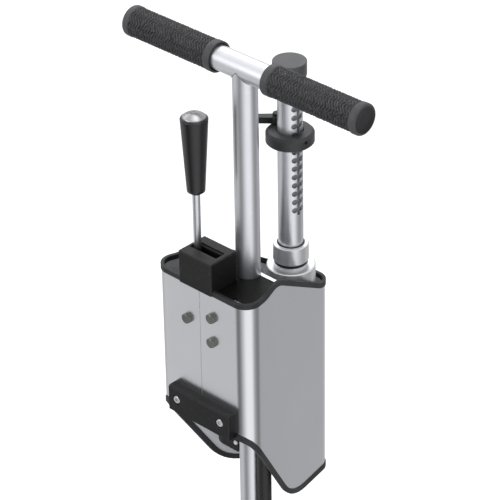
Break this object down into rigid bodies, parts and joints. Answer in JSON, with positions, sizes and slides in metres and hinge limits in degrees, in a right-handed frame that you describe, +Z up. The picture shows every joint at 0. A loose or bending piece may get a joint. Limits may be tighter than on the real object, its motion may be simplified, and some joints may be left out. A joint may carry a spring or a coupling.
{
  "type": "hand soil injector",
  "caption": "T-handled hand soil injector with a sheet-metal housing, a dosing plunger in a barrel, a gate lever, a hose beside the tube and a foot step over a probe.",
  "frame": {"origin": "on the main tube's axis at the ground line, the underside of the foot step", "axes": "+X along the crossbar to its right end, +Y to the plunger at the back, +Z up along the main tube"},
  "size_m": [0.311, 0.1615, 1.1343],
  "materials": {
    "tube_steel": "satin",
    "grip_rubber": "matte, patterned",
    "housing_sheet": "satin silver",
    "trim_rubber": "satin",
    "seal_rubber": "satin",
    "bright_aluminium": "turned",
    "dark_aluminium": "matte anodised",
    "black_plate": "satin",
    "black_plastic": "matte",
    "knob_plastic": "gloss",
    "bright_steel": "polished",
    "dark_steel": "black oxide",
    "zinc": "zinc plated",
    "brass": "turned",
    "hose_braid": "braided",
    "cast_grey": "satin"
  },
  "bodies": {
    "frame": {"crossbar": "tube_steel", "grip_left": "grip_rubber", "grip_right": "grip_rubber", "main_tube": "tube_steel", "housing_left": "housing_sheet", "housing_right": "housing_sheet", "rim_trim": "trim_rubber", "lower_trim": "trim_rubber", "rear_strip": "housing_sheet", "rear_rivets": "zinc", "deck": "bright_aluminium", "top_plate": "black_plate", "gate_block": "black_plastic", "slot_gasket": "trim_rubber", "front_bracket": "zinc", "hex_bolts": "zinc", "hex_nuts": "zinc", "pivot_pin": "bright_steel", "valve_body": "black_plastic", "feed_tube": "tube_steel", "barrel": "tube_steel", "barrel_top_cap": "bright_aluminium", "barrel_low_cap": "bright_aluminium", "gland_seal": "seal_rubber", "gland_nut": "bright_aluminium", "wiper_ring": "seal_rubber", "upper_saddle": "tube_steel", "lower_saddle": "tube_steel", "lower_bar": "black_plastic", "bar_screws": "bright_steel", "lower_bracket": "zinc", "manifold": "black_plastic", "supply_nipple": "brass", "outlet_elbow": "bright_aluminium", "transfer_pipe": "tube_steel", "hose": "hose_braid", "hose_clips": "dark_steel", "hose_fitting": "bright_steel", "step_hub": "cast_grey", "foot_step": "cast_grey", "probe": "tube_steel", "probe_tip": "bright_steel"},
    "gate_lever": {"lever_rod": "bright_steel", "lever_hub": "dark_steel", "lever_knob": "knob_plastic"},
    "spool": {"valve_spool": "bright_steel"},
    "plunger": {"plunger_tube": "tube_steel", "plunger_cap": "dark_aluminium", "piston": "bright_aluminium", "piston_rings": "seal_rubber"},
    "collar": {"stop_collar": "dark_aluminium", "guide_screw": "dark_steel", "lock_screw": "dark_steel"},
    "lock_lever": {"lock_lever": "dark_steel"}
  },
  "joints": [
    {"name": "gate_lever_tilt", "type": "hinge", "parent": "frame", "child": "gate_lever", "pos_m": [-0.037, -0.0345, 0.59], "axis": [0, 1, 0], "range_deg": [0, 31]},
    {"name": "spool_slide", "type": "slide", "parent": "frame", "child": "spool", "axis": [1, 0, 0], "range_m": [-0.0073, 0]},
    {"name": "plunger_press", "type": "slide", "parent": "frame", "child": "plunger", "axis": [0, 0, -1], "range_m": [0, 0.1172]},
    {"name": "collar_shift", "type": "slide", "parent": "plunger", "child": "collar", "axis": [0, 0, 1], "range_m": [0, 0.038]},
    {"name": "lock_lever_turn", "type": "hinge", "parent": "collar", "child": "lock_lever", "pos_m": [-0.0202, 0.06598, 0.7402], "axis": [0, 0, 1], "range_deg": [0, 25]}
  ],
  "couplings": [
    {"joint": "spool_slide", "follows": "gate_lever_tilt", "m_per_rad": -0.013327}
  ]
}
